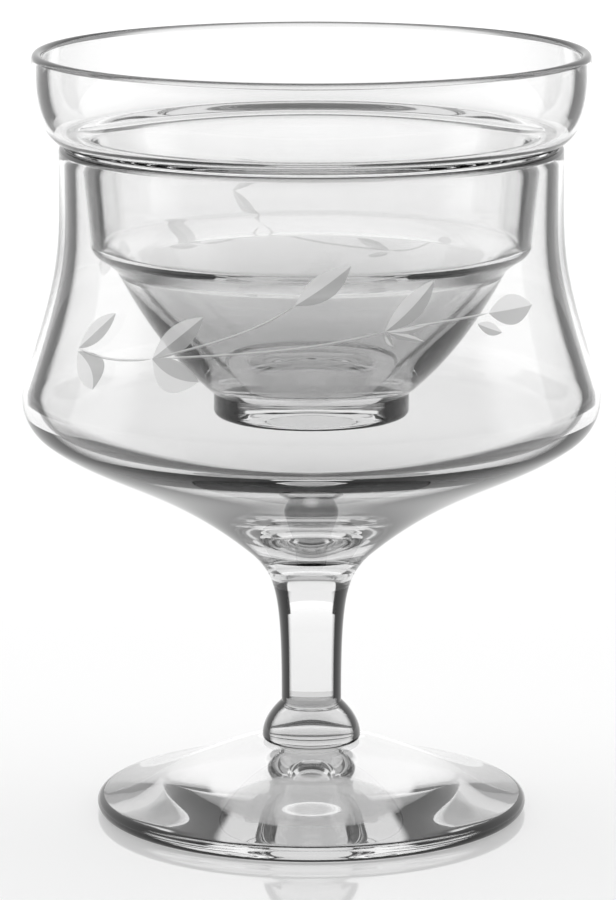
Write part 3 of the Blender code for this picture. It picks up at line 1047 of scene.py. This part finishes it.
class GLASS_OT_stage(Operator):
    """Set the table, the light and the camera"""

    bl_idname = "cocktail_glass.stage"
    bl_label = "Stage"

    def execute(self, context):
        scene = context.scene
        look = scene.cocktail_glass.stage
        reach = look.stage_reach
        span = np.linspace(-reach, reach, TABLE_STEPS)
        across, along = np.meshgrid(span, span, indexing="ij")
        flat = np.stack((across, along, np.full_like(across, -TABLE_DROP)), axis=-1)
        open_mesh("table", flat, table_gloss(look))

        turn, rise = np.meshgrid(np.linspace(0.0, 2 * np.pi, DOME_STEPS[0]),
                                 np.linspace(-DOME_DIP, HALF_PI, DOME_STEPS[1]), indexing="ij")
        dome = reach * np.stack((np.cos(turn) * np.cos(rise), np.sin(turn) * np.cos(rise), np.sin(rise)),
                                axis=-1)
        open_mesh("light_dome", dome, dome_light())

        black = flag_black(look)
        for name, side in (("flag_left", -1.0), ("flag_right", 1.0)):
            flag = open_mesh(name, bent_card(side * look.flag_start, side * look.flag_end, look), black)
            flag.visible_camera = False
            flag.visible_diffuse = False
            flag.visible_glossy = False
            flag.visible_shadow = False

        world = bpy.data.worlds.new("studio")
        world.use_nodes = True
        set_inputs(world.node_tree.nodes["Background"], {"Color": grey(1.0)})
        scene.world = world
        scene.view_settings.view_transform = "Standard"
        scene.cycles.max_bounces = GLASS_BOUNCES
        scene.cycles.transmission_bounces = GLASS_BOUNCES
        scene.cycles.glossy_bounces = GLOSS_BOUNCES
        scene.cycles.transparent_max_bounces = GLASS_BOUNCES

        lens = bpy.data.cameras.new("view")
        lens.lens = look.camera_lens
        lens.sensor_width = FRAME_WIDTH_MM
        camera = bpy.data.objects.new("view", lens)
        camera.location = (-look.camera_aside, -look.camera_distance, look.camera_height)
        camera.rotation_euler = (HALF_PI - look.camera_pitch, 0.0, 0.0)
        scene.collection.objects.link(camera)
        scene.camera = camera
        return {"FINISHED"}


class GLASS_PT_pieces(Panel):
    """Pieces of the cocktail glass"""

    bl_idname = "GLASS_PT_pieces"
    bl_label = "Seafood cocktail glass"
    bl_space_type = "VIEW_3D"
    bl_region_type = "UI"
    bl_category = "Glass"

    def draw(self, context):
        for operator in OPERATORS:
            self.layout.operator(operator.bl_idname)


OPERATORS = (GLASS_OT_icer_bowl, GLASS_OT_leaf_sprays, GLASS_OT_stem, GLASS_OT_stem_knop, GLASS_OT_foot,
             GLASS_OT_liner_bowl, GLASS_OT_liner_foot, GLASS_OT_stage)
CLASSES = (StandSizes, IcerSizes, LinerSizes, GlassLook, SprayLook, StageLook, GlassSettings, *OPERATORS,
           GLASS_PT_pieces)


def register():
    """Make the settings, the operators and the panel known."""
    for item in CLASSES:
        bpy.utils.register_class(item)
    bpy.types.Scene.cocktail_glass = PointerProperty(type=GlassSettings)


def unregister():
    """Take the settings, the operators and the panel away again."""
    del bpy.types.Scene.cocktail_glass
    for item in reversed(CLASSES):
        bpy.utils.unregister_class(item)


def main():
    """Make the settings known, and build every piece and the stage."""
    register()
    bpy.ops.cocktail_glass.icer_bowl()
    bpy.ops.cocktail_glass.leaf_sprays()
    bpy.ops.cocktail_glass.stem()
    bpy.ops.cocktail_glass.stem_knop()
    bpy.ops.cocktail_glass.foot()
    bpy.ops.cocktail_glass.liner_bowl()
    bpy.ops.cocktail_glass.liner_foot()
    bpy.ops.cocktail_glass.stage()


if __name__ == "__main__":
    main()
